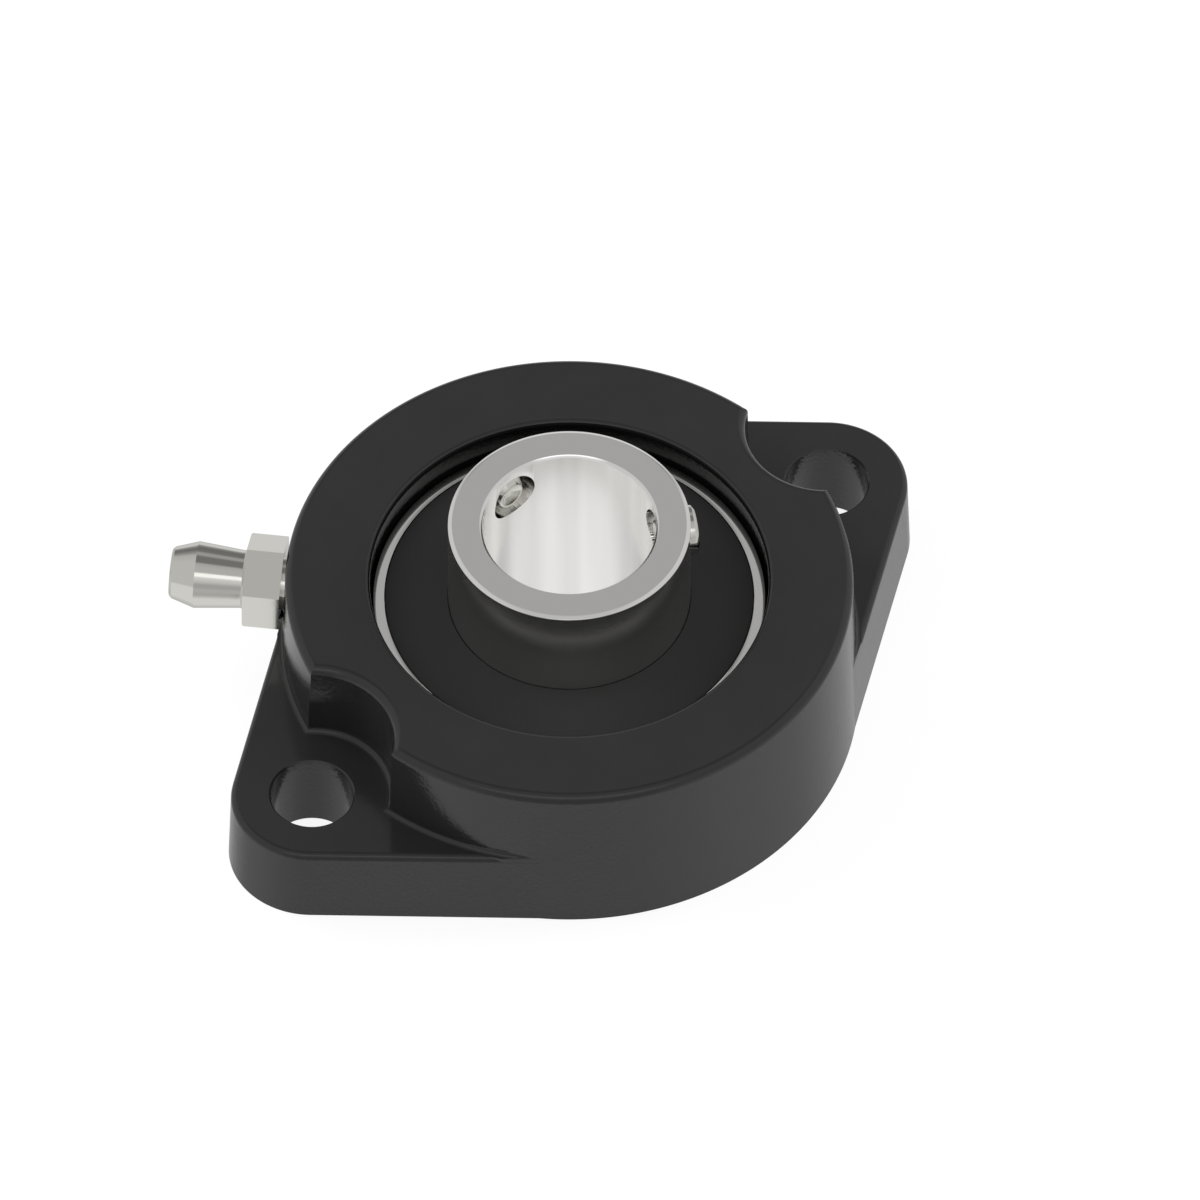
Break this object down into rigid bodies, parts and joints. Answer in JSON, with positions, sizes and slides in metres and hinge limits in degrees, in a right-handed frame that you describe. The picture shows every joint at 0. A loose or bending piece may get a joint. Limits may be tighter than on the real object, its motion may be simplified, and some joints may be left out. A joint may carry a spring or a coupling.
{
  "type": "two-bolt flanged bearing unit",
  "caption": "Oval flanged housing holding a self-aligning ball bearing insert, with set screws that grip a shaft and a grease nipple.",
  "frame": {"origin": "centre of the two bolt holes, on the mounting face", "axes": "+X along the line of the two bolts, +Z along the shaft, away from the surface it is bolted to"},
  "size_m": [0.0798, 0.0573, 0.0264],
  "materials": {
    "housing_iron": "black satin coat over a fine cast skin",
    "ground_steel": "ground and polished bearing steel",
    "ball_steel": "lapped mirror",
    "pressed_steel": "pressed sheet, dull",
    "seal_rubber": "smooth moulded, satin",
    "screw_steel": "turned, bright zinc",
    "nipple_steel": "turned, bright zinc",
    "spring_steel": "drawn wire"
  },
  "bodies": {
    "housing": {"housing": "housing_iron", "nipple_body": "nipple_steel", "nipple_spring": "spring_steel"},
    "outer_ring": {"outer_ring": "ground_steel", "front_seal_plate": "pressed_steel", "front_seal_lip": "seal_rubber", "rear_seal_plate": "pressed_steel", "rear_seal_lip": "seal_rubber"},
    "inner_ring": {"inner_ring": "ground_steel"},
    "cage": {"cage_front": "pressed_steel", "cage_rear": "pressed_steel", "cage_rivets": "pressed_steel"},
    "ball_1": {"ball_1": "ball_steel"},
    "ball_2": {"ball_2": "ball_steel"},
    "ball_3": {"ball_3": "ball_steel"},
    "ball_4": {"ball_4": "ball_steel"},
    "ball_5": {"ball_5": "ball_steel"},
    "ball_6": {"ball_6": "ball_steel"},
    "ball_7": {"ball_7": "ball_steel"},
    "ball_8": {"ball_8": "ball_steel"},
    "set_screw_1": {"set_screw_1": "screw_steel"},
    "set_screw_2": {"set_screw_2": "screw_steel"},
    "nipple_ball": {"nipple_ball": "ball_steel"}
  },
  "joints": [
    {"name": "alignment", "type": "hinge", "parent": "housing", "child": "outer_ring", "pos_m": [0, 0, 0.00915], "axis": [1, 0, 0], "range_deg": [-2, 2]},
    {"name": "shaft_spin", "type": "hinge", "parent": "outer_ring", "child": "inner_ring", "pos_m": [0, 0, 0.00915], "axis": [0, 0, 1], "continuous": true},
    {"name": "cage_spin", "type": "hinge", "parent": "outer_ring", "child": "cage", "pos_m": [0, 0, 0.00915], "axis": [0, 0, 1], "continuous": true},
    {"name": "ball_1_roll", "type": "hinge", "parent": "cage", "child": "ball_1", "pos_m": [0.01425, 0, 0.00915], "axis": [0, 0, 1], "continuous": true},
    {"name": "ball_2_roll", "type": "hinge", "parent": "cage", "child": "ball_2", "pos_m": [0.01008, 0.01008, 0.00915], "axis": [0, 0, 1], "continuous": true},
    {"name": "ball_3_roll", "type": "hinge", "parent": "cage", "child": "ball_3", "pos_m": [0, 0.01425, 0.00915], "axis": [0, 0, 1], "continuous": true},
    {"name": "ball_4_roll", "type": "hinge", "parent": "cage", "child": "ball_4", "pos_m": [-0.01008, 0.01008, 0.00915], "axis": [0, 0, 1], "continuous": true},
    {"name": "ball_5_roll", "type": "hinge", "parent": "cage", "child": "ball_5", "pos_m": [-0.01425, 0, 0.00915], "axis": [0, 0, 1], "continuous": true},
    {"name": "ball_6_roll", "type": "hinge", "parent": "cage", "child": "ball_6", "pos_m": [-0.01008, -0.01008, 0.00915], "axis": [0, 0, 1], "continuous": true},
    {"name": "ball_7_roll", "type": "hinge", "parent": "cage", "child": "ball_7", "pos_m": [0, -0.01425, 0.00915], "axis": [0, 0, 1], "continuous": true},
    {"name": "ball_8_roll", "type": "hinge", "parent": "cage", "child": "ball_8", "pos_m": [0.01008, -0.01008, 0.00915], "axis": [0, 0, 1], "continuous": true},
    {"name": "set_screw_1_feed", "type": "slide", "parent": "inner_ring", "child": "set_screw_1", "axis": [0.0523, -0.9986, 0], "range_m": [-0.001, 0.0025]},
    {"name": "set_screw_2_feed", "type": "slide", "parent": "inner_ring", "child": "set_screw_2", "axis": [-0.891, 0.454, 0], "range_m": [-0.001, 0.0025]},
    {"name": "nipple_valve", "type": "slide", "parent": "housing", "child": "nipple_ball", "axis": [0.7071, -0.7071, 0], "range_m": [0, 0.0008], "stiffness_N_per_m": 500, "springref_m": -0.0005, "deforming": ["nipple_spring"]}
  ],
  "couplings": [
    {"joint": "cage_spin", "follows": "shaft_spin", "ratio": 0.38158},
    {"joint": "ball_1_roll", "follows": "shaft_spin", "ratio": -1.9927},
    {"joint": "ball_2_roll", "follows": "shaft_spin", "ratio": -1.9927},
    {"joint": "ball_3_roll", "follows": "shaft_spin", "ratio": -1.9927},
    {"joint": "ball_4_roll", "follows": "shaft_spin", "ratio": -1.9927},
    {"joint": "ball_5_roll", "follows": "shaft_spin", "ratio": -1.9927},
    {"joint": "ball_6_roll", "follows": "shaft_spin", "ratio": -1.9927},
    {"joint": "ball_7_roll", "follows": "shaft_spin", "ratio": -1.9927},
    {"joint": "ball_8_roll", "follows": "shaft_spin", "ratio": -1.9927}
  ]
}
